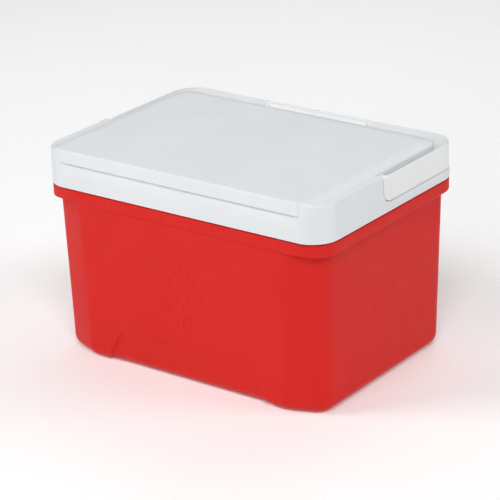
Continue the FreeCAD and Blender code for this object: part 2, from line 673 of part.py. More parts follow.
def hinge_leaf():
    """The leaf on the lid, with the middle knuckle."""
    half = KNUCKLE_MIDDLE / 2
    leaf = leaf_plate(LID_SCREW_X + LEAF_END, hinge_face(False), LID_LEAF_LOW, LID_LEAF_HIGH)
    piece = leaf.fuse(knuckle(HINGE_X - half, HINGE_X + half, False))
    return piece.cut([pin_bore(), hinge_screw_holes(low=False)]).removeSplitter()


def hinge_pin():
    half = PIN_HALF_LENGTH
    pin = rod(HINGE_X - half, HINGE_X + half, HINGE_Y, HINGE_Z, HINGE_PIN_R)
    heads = [
        rod(end - PIN_HEAD_HALF, end + PIN_HEAD_HALF, HINGE_Y, HINGE_Z, PIN_HEAD_R)
        for end in (HINGE_X - half, HINGE_X + half)
    ]
    return pin.fuse(heads).removeSplitter()


# ---- write the pieces --------------------------------------------------------------------------------
def pair(name, right):
    """Saves a right-hand piece and its left-hand twin."""
    save(name + "_right", right)
    save(name + "_left", mirrored(right))


os.makedirs("parts", exist_ok=True)
save("outer_shell", outer_shell())
save("inner_liner", inner_liner())
save("body_insulation", body_insulation())
save("lid_shell", lid_shell())
save("lid_liner", lid_liner())
save("lid_insulation", lid_insulation())
save("handle_bail", handle_bail())
save("handle_grip", handle_grip())
save("hinge_base_screws", hinge_screws(low=True))
save("hinge_leaf_screws", hinge_screws(low=False))
save("hook_screws", Part.makeCompound([hook_screw(), mirrored(hook_screw())]))
pair("lock_keeper", lock_keeper())
pair("pivot_bush", pivot_bush())
pair("pivot_pin", turned_pin())
pair("lock_hook", lock_hook())
pair("hinge_base", hinge_base())
pair("hinge_leaf", hinge_leaf())
pair("hinge_pin", hinge_pin())
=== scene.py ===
"""The picnic cooler's looks: fine meshes for the moulded shells and the handle, and every piece's material.

The CAD nodes are in metres. The meshes made here are worked out in millimetres and scaled by MM.
"""

import json
import math
from collections import namedtuple

import bmesh
import bpy
from mathutils import Matrix, Vector


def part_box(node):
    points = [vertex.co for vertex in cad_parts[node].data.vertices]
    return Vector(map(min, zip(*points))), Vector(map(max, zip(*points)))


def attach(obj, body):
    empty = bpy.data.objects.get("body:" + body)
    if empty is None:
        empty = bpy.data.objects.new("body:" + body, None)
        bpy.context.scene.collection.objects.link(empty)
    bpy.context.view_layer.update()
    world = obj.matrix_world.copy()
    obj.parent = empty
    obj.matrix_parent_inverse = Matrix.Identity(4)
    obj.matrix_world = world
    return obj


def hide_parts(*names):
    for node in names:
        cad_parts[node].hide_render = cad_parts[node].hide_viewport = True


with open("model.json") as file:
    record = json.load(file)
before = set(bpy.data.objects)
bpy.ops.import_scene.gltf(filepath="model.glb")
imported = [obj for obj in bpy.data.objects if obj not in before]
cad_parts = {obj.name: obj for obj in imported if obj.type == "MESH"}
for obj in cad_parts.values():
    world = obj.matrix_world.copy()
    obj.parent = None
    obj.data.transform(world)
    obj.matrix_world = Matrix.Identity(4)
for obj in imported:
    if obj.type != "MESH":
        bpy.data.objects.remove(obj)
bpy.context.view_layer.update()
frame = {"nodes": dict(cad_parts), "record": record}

MM = 0.001

# ---- sizes, from the packed frame --------------------------------------------------------------------
lid_low, lid_high = (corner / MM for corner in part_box("lid_shell"))
tub_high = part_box("outer_shell")[1] / MM
bail_low, bail_high = (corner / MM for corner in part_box("handle_bail"))
grip_low, grip_high = (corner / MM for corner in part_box("handle_grip"))

LIP_PROUD = 0.6
LID_X, LID_Y = lid_high.x, -lid_low.y - LIP_PROUD
PART_Z = (tub_high.z + lid_low.z) / 2
LID_CORNER = 28.0

# the lid's top: a flat plateau, a slope round three sides of it, and a level shoulder
PLATEAU_Z = lid_high.z
SHOULDER_Z = PLATEAU_Z - 2.2
PLATEAU_X, PLATEAU_BACK_Y, PLATEAU_CORNER = LID_X - 21, 90.0, 10.0
SLOPE_RUN = 11.0
CREASE_SOFTNESS = 1.6

# the raised core and the pocket that the handle folds into
CORE_X, CORE_BACK_Y, CORE_CORNER = LID_X - 9, 101.0, 18.0
POCKET_GAP = 1.1
POCKET_Y = bail_low.y - POCKET_GAP
POCKET_FILLET = 1.2
POCKET_CORNER = 1.5
LEDGE_Z = bail_low.z - 0.7
LEDGE_ROUND = 0.9
LEDGE_FILLET = 1.0
LEDGE_FRONT_Y = 8.0

# edges
SIDE_ROUND, LIP_ROUND, REAR_ROUND, POCKET_ROUND = 3.0, 2.0, 2.2, 1.2
SKIRT_ROUND = 0.7
LID_WALL = 2.5

# the finger lip and the scoop under it; a place faces the front where its normal's y is below FACES_FRONT
FACES_FRONT = -0.9
LIP_X = 145.0
LIP_Z = PART_Z + 27.0
LIP_END_RUN = 1.0
LIP_STEP, LIP_STEP_RUN = 0.3, 0.6
SCOOP_Z = PART_Z + 14.0
SCOOP_DEPTH = 2.0
SCOOP_END = 12.0
SCOOP_CURVE = 1.35

# tub: each upright corner is a gentle bend, a flat facet and a tighter turn
TUB_TOP_X, TUB_TOP_Y = 163.2, 121.5
TUB_DRAFT = 4.0
CORNER_RUN, BEND_R, TURN_R = 43.6, 24.0, 18.5
FACET = math.radians(20.5)
TUB_ROUND = 12.0
TUB_WALL = 3.0
FLANGE_LOW = tub_high.z - 14.1
FLANGE_ROUND = 3.0
FLANGE_CORNER = LID_CORNER - 0.4
SEAM_HEIGHT, SEAM_DEPTH, SEAM_ROUND = 0.9, 1.6, 0.4
STEP_X, STEP_TOP, STEP_SLANT, STEP_CORNER = 101.5, 38.7, 21.6, 8.5
STEP_DEPTH_LOW, STEP_DEPTH_HIGH = 4.0, 1.0
STEP_EDGE, STEP_EDGE_RUN = 0.3, 1.3
BADGE_Z, BADGE_ARM, BADGE_FORK, BADGE_TWIG = 93.0, 34.0, 18.7, 12.2
BADGE_BAR, BADGE_HEIGHT = 4.5, 0.6
BADGE_EDGE, BADGE_EDGE_RUN = 0.35, 0.9

# handle
BAND_X, BAND_Y = bail_high.x, bail_high.y
BAND_THICK = BAND_Y - grip_high.y
BAND_CORNER = LID_CORNER - 0.7
BAND_ROUND = 0.9
ARM_FRONT_Y = bail_low.y
ARM_LOW_ROUND, ARM_TOP_ROUND = 13.0, 5.0
RIB_DEPTH, RIB_THICK, RIB_ROUND = 2.6, 2.4, 0.8
RIB_START_Y, RIB_START_RUN = 14.0, 8.0
NOTCH_HALF, NOTCH_DROP, NOTCH_CUT, NOTCH_END_RUN = 3.0, 2.0, 1.2, 1.2
BEVEL_DEPTH, BEVEL_DROP = 1.7, 7.5
BEVEL_START, BEVEL_START_RUN = grip_high.x + 3, 4.0
GRIP_END = 7.0
GRIP_RIB_WAVES, GRIP_RIB_SHARE, GRIP_PLAIN_ANGLE = 20, 0.04, 0.5

# meshes: an edge that bends more than SHARP_ANGLE is shaded sharp, and points nearer than WELD become one
SHARP_ANGLE = math.radians(38)
WELD = 0.004


# ---- helpers -----------------------------------------------------------------------------------------
def steps(start, end, count):
    """count + 1 numbers from start to end, evenly spaced."""
    return [start + (end - start) * i / count for i in range(count + 1)]


def smooth(value):
    """0 below 0, 1 above 1, and an S between them."""
    value = min(max(value, 0.0), 1.0)
    return value * value * (3 - 2 * value)


def inside(distance, start, run):
    """0 outside an outline and 1 inside it; it changes between the distances start and start - run."""
    return smooth((start - distance) / run)


def soft_positive(value, softness):
    """max(value, 0) with its corner rounded over softness each way."""
    if value <= -softness:
        return 0.0
    if value >= softness:
        return value
    return (value + softness) ** 2 / (4 * softness)


def quarter(count):
    """Angles from 0 to a right angle."""
    return steps(0, math.pi / 2, count)


Place = namedtuple("Place", "x y nx ny bend px py")
Place.__doc__ = "A place on an outline in plan, its outward normal, its corner's radius and peak direction."


def straight(x, y, nx, ny):
    return Place(x, y, nx, ny, math.inf, 0, 0)


def on_corner(cx, cy, radius, sx, sy, turn):
    """On a convex corner: turn 0 faces along Y, a right angle faces along X."""
    nx, ny = sx * math.sin(turn), sy * math.cos(turn)
    return Place(cx + radius * nx, cy + radius * ny, nx, ny, radius, sx, sy)


def in_corner(cx, cy, radius, turn):
    """On a concave corner that opens towards +X and +Y."""
    nx, ny = math.sin(turn), math.cos(turn)
    return straight(cx - radius * nx, cy - radius * ny, nx, ny)


def mirror(place):
    """The place on the left half."""
    return place._replace(x=-place.x, nx=-place.nx, px=-place.px)


def flip(place):
    """The place on the back half."""
    return place._replace(y=-place.y, ny=-place.ny, py=-place.py)


def inset(place, distance):
    """The place moved into the material; past its corner's centre it follows the corner's diagonal."""
    near = min(distance, place.bend)
    past = distance - near
    x = place.x - place.nx * near - place.px * past
    y = place.y - place.ny * near - place.py * past
    return x, y


class Skin:
    """The points and faces of one piece."""

    def __init__(self):
        self.points = []
        self.faces = []

    def row(self, points):
        first = len(self.points)
        self.points.extend(points)
        return list(range(first, len(self.points)))

    def band(self, one, two, closed=True):
        for i in range(len(one) if closed else len(one) - 1):
            j = (i + 1) % len(one)
            self.faces.append((one[i], one[j], two[j], two[i]))

    def wrap(self, start, rows):
        """Adds closed rows one after another from the row start, and returns the last one."""
        for points in rows:
            following = self.row(points)
            self.band(start, following)
            start = following
        return start

    def tube(self, rows):
        """A closed piece: the rows one after another, with a face over the first and the last."""
        first = self.row(rows[0])
        self.faces.append(tuple(first))
        last = self.wrap(first, rows[1:])
        self.faces.append(tuple(last))

    def build(self, name):
        mesh = bpy.data.meshes.new(name)
        mesh.from_pydata([Vector(p) * MM for p in self.points], [], self.faces)
        work = bmesh.new()
        work.from_mesh(mesh)
        bmesh.ops.remove_doubles(work, verts=work.verts, dist=WELD * MM)
        bmesh.ops.recalc_face_normals(work, faces=work.faces)
        work.to_mesh(mesh)
        work.free()
        mesh.polygons.foreach_set("use_smooth", [True] * len(mesh.polygons))
        mesh.set_sharp_from_angle(angle=SHARP_ANGLE)
        piece = bpy.data.objects.new(name, mesh)
        bpy.context.scene.collection.objects.link(piece)
        return piece


# ---- lid ---------------------------------------------------------------------------------------------
def top_height(x, y):
    """Height of the lid's top: flat, then a slope down to the shoulder."""
    ax = abs(x) - (PLATEAU_X - PLATEAU_CORNER)
    ay = y - (PLATEAU_BACK_Y - PLATEAU_CORNER)
    away = math.hypot(max(ax, 0), max(ay, 0)) + min(max(ax, ay), 0) - PLATEAU_CORNER
    down = soft_positive(away, CREASE_SOFTNESS) - soft_positive(away - SLOPE_RUN, CREASE_SOFTNESS)
    return PLATEAU_Z - (PLATEAU_Z - SHOULDER_Z) * down / SLOPE_RUN


def lip_span(x):
    """1 along the finger lip, fading to 0 just past its ends."""
    return inside(abs(x) - LIP_X, LIP_END_RUN / 2, LIP_END_RUN)


def lip_offset(x, z):
    """How far the front face stands out (+) at the lip or back (-) in the scoop."""
    if z >= LIP_Z:
        return LIP_PROUD * lip_span(x) * smooth(LIP_STEP + (z - LIP_Z) / LIP_STEP_RUN)
    depth = max(z - SCOOP_Z, 0) / (LIP_Z - SCOOP_Z)
    return -SCOOP_DEPTH * inside(abs(x) - LIP_X, 0, SCOOP_END) * depth ** SCOOP_CURVE


def front_round(x):
    return SIDE_ROUND + (LIP_ROUND - SIDE_ROUND) * lip_span(x)


Column = namedtuple("Column", "front front_round rear rear_round whole")
Column.__doc__ = "A line of the lid's top from front to rear; those that aren't whole end at the pocket."


def lid_columns():
    """The right half's columns, from the middle outwards."""
    fx, fy = LID_X - LID_CORNER, -LID_Y + LID_CORNER
    bx, by = CORE_X - CORE_CORNER, CORE_BACK_Y - CORE_CORNER

    def front_at(x):
        radius = front_round(x)
        if x <= fx:
            return straight(x, -LID_Y, 0, -1), radius
        turn = math.asin(min((x - fx) / (LID_CORNER - radius), 1))
        return on_corner(fx, fy, LID_CORNER, 1, -1, turn), radius

    # the columns stand closer together towards the finger lip's end and the core's corner
    columns = []
    for x in steps(0, 126, 21) + steps(130, 138, 2) + steps(140, bx, 3):
        columns.append(Column(*front_at(x), straight(x, CORE_BACK_Y, 0, 1), REAR_ROUND, True))
    lip_end = [math.asin((x - bx) / (CORE_CORNER - REAR_ROUND)) for x in steps(bx, LIP_X + 1, 8)[1:]]
    for turn in lip_end + steps(lip_end[-1], math.pi / 2, 16)[1:]:
        rear = on_corner(bx, by, CORE_CORNER, 1, 1, turn)
        x = inset(rear, REAR_ROUND)[0]
        columns.append(Column(*front_at(x), rear, REAR_ROUND, True))

    # beyond the core a column ends at the pocket's front wall
    rears = []
    cx, cy = CORE_X + POCKET_FILLET, POCKET_Y + POCKET_FILLET
    for turn in quarter(4)[::-1][1:]:
        rears.append((in_corner(cx, cy, POCKET_FILLET, turn), REAR_ROUND))
    corner_x = LID_X - POCKET_CORNER
    for x in steps(cx, corner_x, 3)[1:]:
        rears.append((straight(x, POCKET_Y, 0, 1), POCKET_ROUND))
    for turn in quarter(3)[1:]:
        rear = on_corner(corner_x, POCKET_Y - POCKET_CORNER, POCKET_CORNER, 1, 1, turn)
        rears.append((rear, POCKET_ROUND))
    last_turn = math.asin((CORE_X - REAR_ROUND - fx) / (LID_CORNER - SIDE_ROUND))
    for (rear, radius), turn in zip(rears, steps(last_turn, math.pi / 2, len(rears))[1:]):
        front = on_corner(fx, fy, LID_CORNER, 1, -1, turn)
        columns.append(Column(front, SIDE_ROUND, rear, radius, False))
    return columns


# shares of a column's length ahead of the pocket and beside it, close together where the top bends
FRONT_ROWS = [0, 0.008, 0.02, 0.04] + steps(0.08, 0.72, 8) + steps(0.76, 0.97, 8) + [1]
REAR_ROWS = steps(0, 0.8, 10)[1:] + steps(0.82, 0.985, 12) + [0.993, 1]
TAPER_START, TAPER_END = POCKET_Y - 15.0, POCKET_Y - 3.0


def column_points(column):
    """The column's points in plan, on the top surface, from the front edge to the rear one."""
    x0, y0 = inset(column.front, column.front_round)
    x2, y2 = inset(column.rear, column.rear_round)
    y1 = POCKET_Y + POCKET_FILLET if column.whole else y2
    points = []
    for share in FRONT_ROWS:
        y = y0 + (y1 - y0) * share
        sideways = 0 if column.whole else smooth((y - TAPER_START) / (TAPER_END - TAPER_START))
        points.append((x0 + (x2 - x0) * sideways, y))
    if column.whole:
        points += [(x0, y1 + (y2 - y1) * share) for share in REAR_ROWS]
    return points


POCKET_START_EDGES = 3

Edge = namedtuple("Edge", "place radius number skirt pocket")
Edge.__doc__ = "A place on the core's outline, its top edge, and its partner on the skirt; pocket is 0 or 1."


def ledge_height(y):
    """The pocket's floor: level, and curving up at the front round the arm's rounded end."""
    radius = ARM_LOW_ROUND + POCKET_GAP
    ahead = ARM_FRONT_Y + ARM_LOW_ROUND - y
    if ahead <= 0:
        return LEDGE_Z
    rise = radius - math.sqrt(max(radius ** 2 - ahead ** 2, 0))
    return max(LEDGE_Z, bail_low.z - POCKET_GAP + rise)


def skirt_partner(place, travelled):
    """The place on the skirt that the ledge of a pocket place reaches; travelled is its distance in."""
    side_end = LID_Y - LID_CORNER
    start = POCKET_Y - POCKET_CORNER
    length = (LEDGE_FRONT_Y - start) + (LID_X - CORE_X)
    if travelled < length:
        return straight(LID_X, start + (LEDGE_FRONT_Y - start) * travelled / length, 1, 0)
    if place.bend == math.inf and place.ny == 0:
        core_end = CORE_BACK_Y - CORE_CORNER
        share = (place.y - LEDGE_FRONT_Y) / (core_end - LEDGE_FRONT_Y)
        y = LEDGE_FRONT_Y + (side_end - LEDGE_FRONT_Y) * min(max(share, 0), 1)
        return straight(LID_X, y, 1, 0)
    if place.bend == math.inf:
        return straight(place.x * (LID_X - LID_CORNER) / (CORE_X - CORE_CORNER), LID_Y, 0, 1)
    turn = math.atan2(place.nx, place.ny)
    return on_corner(LID_X - LID_CORNER, side_end, LID_CORNER, 1, 1, turn)


def half_loop(columns, grid):
    """The right half of the core's outline in order from the front's middle to the back's middle."""
    # the front, and the side ahead of the pocket
    edges = []
    for column, numbers in zip(columns, grid):
        edges.append(Edge(column.front, column.front_round, numbers[0], column.front, 0))
    outer = column_points(columns[-1])
    for (x, y), number in list(zip(outer, grid[-1]))[1:-1]:
        place = straight(LID_X, y, 1, 0)
        edges.append(Edge(place, LID_X - x, number, place, 0))

    # the pocket's front wall, the core's side and its back
    side = sum(column.whole for column in columns) - 1
    trail = []
    for i in range(len(columns) - 1, side, -1):
        trail.append((columns[i].rear, columns[i].rear_round, grid[i][-1]))
    for (x, y), number in list(zip(column_points(columns[side]), grid[side]))[len(FRONT_ROWS) - 1:-1]:
        trail.append((straight(CORE_X, y, 1, 0), REAR_ROUND, number))
    for i in range(side, -1, -1):
        trail.append((columns[i].rear, columns[i].rear_round, grid[i][-1]))

    travelled = 0.0
    for i, (place, radius, number) in enumerate(trail):
        if i:
            before = trail[i - 1][0]
            travelled += math.hypot(place.x - before.x, place.y - before.y)
        pocket = min(i / POCKET_START_EDGES, 1)
        edges.append(Edge(place, radius, number, skirt_partner(place, travelled), pocket))
    return edges


def lid_top(skin, columns):
    """The top surface as a grid; returns the number of each column's points, left to right."""
    grid = []
    flipped = [(column, -1) for column in columns[:0:-1]]
    for column, sign in flipped + [(column, 1) for column in columns]:
        points = []
        for k, (x, y) in enumerate(column_points(column)):
            z = top_height(x, y)
            proud = lip_offset(x, z) if k == 0 and column.front.ny < FACES_FRONT else 0
            points.append((sign * x, y - proud, z))
        grid.append(skin.row(points))
    for one, two in zip(grid, grid[1:]):
        count = min(len(one), len(two))
        skin.band(one[:count], two[:count], closed=False)
    return grid


def wall_point(edge, z, depth=0.0):
    x, y = inset(edge.place, depth)
    if edge.place.ny < FACES_FRONT:
        y -= lip_offset(x, z)
    return x, y, z


def mixed(edge, one, two):
    """A point between the plain wall's (one) and the pocket's (two)."""
    return tuple(a + (b - a) * edge.pocket for a, b in zip(one, two))


# heights of the wall's rows above the parting plane, close together at the finger lip's lower edge
WALL_LEVELS = [34, 31, 29, 28, 27.6, 27.3, 27.1, 27.0, 26.99, 26.6]
WALL_LEVELS += [25.8, 24.6, 23, 21, 19, 17, 15.5, 14, 12.5, 11]
# the plain wall's heights while the same rows make the pocket's fillet, ledge and outer edge
FILLET_LEVELS, LEDGE_LEVELS, EDGE_LEVELS = steps(10.8, 10.4, 2), steps(10.3, 9.8, 5), steps(9.6, 9.0, 2)
LEDGE_CLEAR = 1.2
SKIRT_LEVELS = (6, 3)
INNER_LEVELS = (7.2, 12, 30, 34)
CEILING_LEVEL, CEILING_INSET = 35.4, 1.5


def top_edge_rows(loop):
    """The rounding from the top surface down to the wall."""
    rows = []
    for angle in quarter(5)[1:]:
        row = []
        for edge in loop:
            x, y = inset(edge.place, edge.radius)
            z = top_height(x, y) - edge.radius * (1 - math.cos(angle))
            row.append(wall_point(edge, z, edge.radius * (1 - math.sin(angle))))
        rows.append(row)
    return rows


def wall_rows(loop):
    """The wall, whose rows are squeezed above the ledge where it is the pocket's."""
    lowest, highest = LEDGE_Z + LEDGE_CLEAR, PART_Z + WALL_LEVELS[0]
    rows = []
    for level in WALL_LEVELS:
        row = []
        for edge in loop:
            z = PART_Z + level
            floor_z = ledge_height(edge.place.y) + LEDGE_CLEAR if edge.pocket else lowest
            squeezed = floor_z + (z - lowest) * (highest - floor_z) / (highest - lowest)
            row.append(wall_point(edge, squeezed if edge.pocket else z))
        rows.append(row)
    return rows


def ledge_rows(loop):
    """The ledge that the folded handle stands over, and the rounded edge down to the skirt."""
    def plain_point(edge, level):
        return (*inset(edge.place, 0), PART_Z + level)

    rows = []
    for angle, level in zip(quarter(3)[1:], FILLET_LEVELS):
        row = []
        for edge in loop:
            fillet = min(LEDGE_FILLET, max(0.1, (LID_X - abs(edge.place.x)) * 0.4))
            x, y = inset(edge.place, -fillet * (1 - math.cos(angle)))
            z = ledge_height(y) + fillet * (1 - math.sin(angle))
            row.append(mixed(edge, plain_point(edge, level), (x, y, z)))
        rows.append(row)
    fillet_row = rows[-1]
    for share, level in zip(steps(0, 1, 6)[1:], LEDGE_LEVELS):
        row = []
        for edge, (x0, y0, _) in zip(loop, fillet_row):
            x1, y1 = inset(edge.skirt, LEDGE_ROUND)
            x, y = x0 + (x1 - x0) * share, y0 + (y1 - y0) * share
            row.append(mixed(edge, plain_point(edge, level), (x, y, ledge_height(y))))
        rows.append(row)
    for angle, level in zip(quarter(3)[1:], EDGE_LEVELS):
        inward, down = LEDGE_ROUND * (1 - math.sin(angle)), LEDGE_ROUND * (1 - math.cos(angle))
        row = []
        for edge in loop:
            x, y = inset(edge.skirt, inward)
            row.append(mixed(edge, plain_point(edge, level), (x, y, ledge_height(y) - down)))
        rows.append(row)
    return rows


def skirt_rows(loop):
    """The skirt, its lower edge and the wall's inner face up to the ceiling."""
    bottom = lid_low.z
    profile = [(0, PART_Z + level) for level in SKIRT_LEVELS]
    for angle in quarter(3):
        profile.append((SKIRT_ROUND * (1 - math.cos(angle)), bottom + SKIRT_ROUND * (1 - math.sin(angle))))
    profile += [(LID_WALL - 0.4, bottom), (LID_WALL, bottom + 0.5), (LID_WALL, PART_Z + 7)]
    rows = [[(*inset(edge.skirt, depth), z) for edge in loop] for depth, z in profile]
    for level in INNER_LEVELS:
        rows.append([(*inset(edge.place, LID_WALL), PART_Z + level) for edge in loop])
    ceiling = PART_Z + CEILING_LEVEL
    rows.append([(*inset(edge.place, LID_WALL + CEILING_INSET), ceiling) for edge in loop])
    return rows


def lid_shell():
    skin = Skin()
    columns = lid_columns()
    grid = lid_top(skin, columns)
    middle = len(columns) - 1
    right = half_loop(columns, grid[middle:])
    left = half_loop(columns, grid[middle::-1])
    left = [edge._replace(place=mirror(edge.place), skirt=mirror(edge.skirt)) for edge in left]
    loop = right + left[-2:0:-1]
    start = [edge.number for edge in loop]
    last = skin.wrap(start, top_edge_rows(loop) + wall_rows(loop) + ledge_rows(loop) + skirt_rows(loop))
    skin.faces.append(tuple(last))
    return skin.build("lid_moulding")


# ---- tub ---------------------------------------------------------------------------------------------
def step_distance(x, z):
    """How far outside the stepped panel's outline a point of the front wall is, negative inside."""
    length = math.hypot(STEP_SLANT, STEP_TOP)
    side = ((abs(x) - STEP_X) * STEP_TOP + z * STEP_SLANT) / length
    top = z - STEP_TOP
    a, b = side + STEP_CORNER, top + STEP_CORNER
    return math.hypot(max(a, 0), max(b, 0)) + min(max(a, b), 0) - STEP_CORNER


def step_depth(x, z):
    """How far the stepped panel lies behind the front wall."""
    depth = STEP_DEPTH_LOW + (STEP_DEPTH_HIGH - STEP_DEPTH_LOW) * max(z, 0) / STEP_TOP
    return max(depth, 0) * inside(step_distance(x, z), STEP_EDGE, STEP_EDGE_RUN)


def bar_distance(x, z, x0, z0, x1, z1, half):
    """Distance from a point to a round-ended bar."""
    dx, dz = x1 - x0, z1 - z0
    share = ((x - x0) * dx + (z - z0) * dz) / (dx * dx + dz * dz)
    share = min(max(share, 0), 1)
    return math.hypot(x - x0 - dx * share, z - z0 - dz * share) - half


def badge_height(x, z):
    """The snowflake's relief: six arms, each with a pair of twigs."""
    z -= BADGE_Z
    reach = math.hypot(x, z)
    if reach > BADGE_ARM + BADGE_BAR:
        return 0.0
    sector = math.pi / 3
    angle = (math.atan2(x, z) + sector / 2) % sector - sector / 2
    along, across = reach * math.cos(angle), abs(reach * math.sin(angle))
    half = BADGE_BAR / 2
    arm = bar_distance(across, along, 0, BADGE_BAR + half, 0, BADGE_ARM - half, half)
    length = BADGE_TWIG - half
    tip_x, tip_z = length * math.sin(sector), BADGE_FORK + length * math.cos(sector)
    twig = bar_distance(across, along, 0, BADGE_FORK, tip_x, tip_z, half)
    return BADGE_HEIGHT * inside(min(arm, twig), BADGE_EDGE, BADGE_EDGE_RUN)


SLANT_FULL, SLANT_FADE, SLANT_FADE_UP = 10, 26, 22


def wall_xs(half, z):
    """Where the front wall's columns stand: close together at the badge and the panel's slanted ends.

    The columns within SLANT_FULL of the slanted end lean with it, and those further away lean less.
    """
    base = steps(0, 36, 42) + [42, 50, 57, 63, 67] + steps(70, 94, 24) + [98, 104, 110]
    slant_x = STEP_X - STEP_SLANT / 2
    shift = STEP_X - STEP_SLANT * min(z, STEP_TOP) / STEP_TOP - slant_x
    shift *= 1 - smooth((z - STEP_TOP) / SLANT_FADE_UP)
    xs = []
    for x in base:
        near = 1 - smooth((abs(x - slant_x) - SLANT_FULL) / SLANT_FADE)
        xs.append(x + shift * near)
    xs.append(TUB_TOP_X - CORNER_RUN)
    scale = half / xs[-1]
    xs = [x * (1 + (scale - 1) * smooth(x / xs[-1])) for x in xs]
    return [-x for x in xs[:0:-1]] + xs


def arc_places(cx, cy, radius, angles, peak):
    """Places on an arc of a front right corner; angle 0 faces the front and a right angle the side."""
    places = []
    for angle in angles:
        nx, ny = math.sin(angle), -math.cos(angle)
        places.append(Place(cx + radius * nx, cy + radius * ny, nx, ny, radius, *peak))
    return places


def tub_corner(half_x, half_y):
    """The wall's front right corner where it is half_x and half_y wide."""
    bend_x, bend_y = half_x - CORNER_RUN, half_y - BEND_R
    turn_x = half_x - TURN_R
    away = BEND_R - TURN_R - (turn_x - bend_x) * math.sin(FACET)
    turn_y = bend_y + away / math.cos(FACET)
    bend_peak = math.tan(FACET / 2), -1
    turn_peak = 1, -math.cos(FACET) / (1 + math.sin(FACET))
    places = arc_places(bend_x, -bend_y, BEND_R, steps(0, FACET, 6), bend_peak)
    return places + arc_places(turn_x, -turn_y, TURN_R, steps(FACET, math.pi / 2, 14), turn_peak)


def flange_corner():
    """The flange's front right corner, with its places spread along it as they are along the wall's."""
    wall = tub_corner(TUB_TOP_X, TUB_TOP_Y)
    travelled = [0.0]
    for one, two in zip(wall, wall[1:]):
        travelled.append(travelled[-1] + math.hypot(two.x - one.x, two.y - one.y))
    cx, cy = tub_high.x - FLANGE_CORNER, -tub_high.y + FLANGE_CORNER
    run = cx - wall[0].x
    length = run + FLANGE_CORNER * math.pi / 2
    places = []
    for share in (distance / travelled[-1] for distance in travelled):
        along = length * share
        if along < run:
            places.append(straight(wall[0].x + along, -tub_high.y, 0, -1))
        else:
            places.append(on_corner(cx, cy, FLANGE_CORNER, 1, -1, (along - run) / FLANGE_CORNER))
    return places


PLAIN, PANEL, PANEL_AND_BADGE = 0, 1, 2


def wall_row(corner, half_x, half_y, z, depth, relief):
    """A row of points round the tub; the relief says what stands on the front wall."""
    front = [straight(x, -half_y, 0, -1) for x in wall_xs(corner[0].x, z)]
    side_y = corner[-1].y
    right = corner[1:] + [straight(half_x, y, 1, 0) for y in steps(side_y, -side_y, 8)[1:]]
    right += [flip(place) for place in corner[-2:0:-1]]
    back = [straight(x, half_y, 0, 1) for x in steps(corner[0].x, -corner[0].x, 12)]
    left = [mirror(place) for place in right[::-1]]
    points = []
    for place in front + right + back + left:
        x, y = inset(place, depth)
        if place.ny == -1 and relief != PLAIN:
            y += step_depth(x, z)
            if relief == PANEL_AND_BADGE:
                y -= badge_height(x, z)
        points.append((x, y, z))
    return points


def tub_row(z, depth=0.0, relief=PANEL_AND_BADGE):
    """A row on the leaning wall."""
    lean = TUB_DRAFT * (1 - z / tub_high.z)
    half_x, half_y = TUB_TOP_X - lean, TUB_TOP_Y - lean
    return wall_row(tub_corner(half_x, half_y), half_x, half_y, z, depth, relief)


def flange_row(z, depth=0.0):
    return wall_row(flange_corner(), tub_high.x, tub_high.y, z, depth, PLAIN)


LEAST_UNDERSIDE = 0.05
ROOT_SHARE, ROOT_DROP = 0.15, 0.6


def flange_underside():
    """Rows from the wall out to the flange's side; where it hardly stands out, its rounding starts late."""
    wall, edge = tub_row(FLANGE_LOW), flange_row(FLANGE_LOW)
    parts = 8
    rows = [[] for _ in range(parts + 1)]
    for (x0, y0, _), (x1, y1, _) in zip(wall, edge):
        across = math.hypot(x1 - x0, y1 - y0)
        reach = min(across - LEAST_UNDERSIDE, FLANGE_ROUND)
        first = math.asin(1 - reach / FLANGE_ROUND)
        for row, angle in zip(rows, steps(first, math.pi / 2, parts)):
            inward = FLANGE_ROUND * (1 - math.sin(angle)) / across
            up = FLANGE_ROUND * (1 - math.cos(angle))
            row.append((x1 + (x0 - x1) * inward, y1 + (y0 - y1) * inward, FLANGE_LOW + up))
    root = []
    for (x0, y0, _), (x1, y1, z1) in zip(wall, rows[0]):
        root.append((x0 + (x1 - x0) * ROOT_SHARE, y0 + (y1 - y0) * ROOT_SHARE, z1))
    below = [(x, y, z - ROOT_DROP) for (x, y, _), (_, _, z) in zip(wall, root)]
    return [below, root] + rows


# the shallow recess in the base, as (inset, height) pairs from its middle out
BASE_RECESS = ((30, 1.2), (26, 1.2), (21, 1.0), (19.5, 0.2), (18.5, 0), (TUB_ROUND + 1, 0))
# heights of the wall's rows, closest together at the stepped panel's top edge and the badge
WALL_HEIGHTS = steps(14, 22, 4) + steps(23, 42, 19) + steps(44, 54, 5)
WALL_HEIGHTS += steps(56, 130, 82) + steps(134, FLANGE_LOW - 3, 6)
INNER_HEIGHTS = [FLANGE_LOW + TUB_WALL] + steps(150, 13, 12)
# the inner face's rounding into the floor, as (height, inset from the inner face) pairs
INNER_FLOOR = ((5, 3), (TUB_WALL, 8), (TUB_WALL, 24))
RIM_CHAMFER = 0.3


